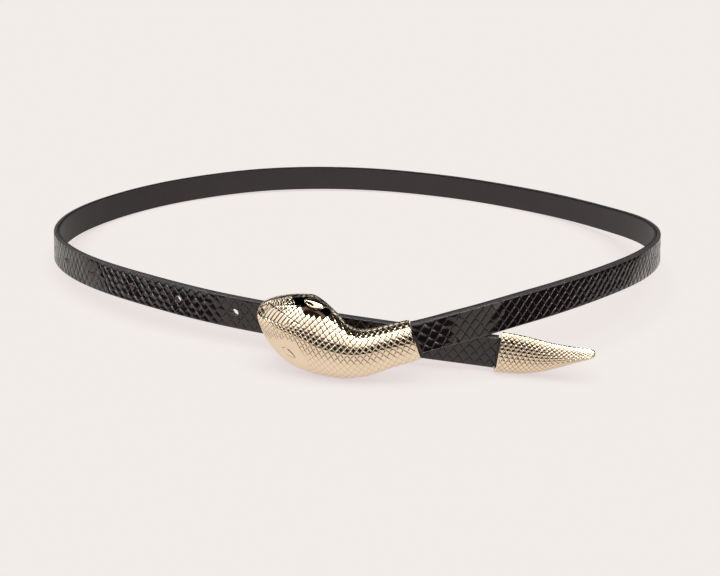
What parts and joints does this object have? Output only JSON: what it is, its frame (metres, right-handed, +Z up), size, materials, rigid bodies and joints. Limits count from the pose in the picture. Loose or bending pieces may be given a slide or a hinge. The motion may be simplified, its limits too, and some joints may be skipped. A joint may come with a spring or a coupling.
{
  "type": "patent leather belt",
  "caption": "Narrow black patent leather belt with a snakeskin emboss, hooked closed by a cast gold snake's head with a matching tail tip, standing on its edge as an oval loop.",
  "frame": {"origin": "under the middle of the whole belt, on the surface that it stands on", "axes": "+Z up across the strap's width, +X to the right of someone who faces the buckle, +Y from the buckle to the back of the loop"},
  "size_m": [0.3018, 0.2694, 0.0341],
  "materials": {
    "patent_black": "embossed patent coating, high gloss",
    "lining_black": "matte backing",
    "pale_gold": "polished champagne gold plating on cast zinc alloy"
  },
  "bodies": {
    "root": {"strap_face": "patent_black", "strap_lining": "lining_black", "head_buckle": "pale_gold", "hook_post": "pale_gold", "tail_tip": "pale_gold"}
  },
  "joints": []
}
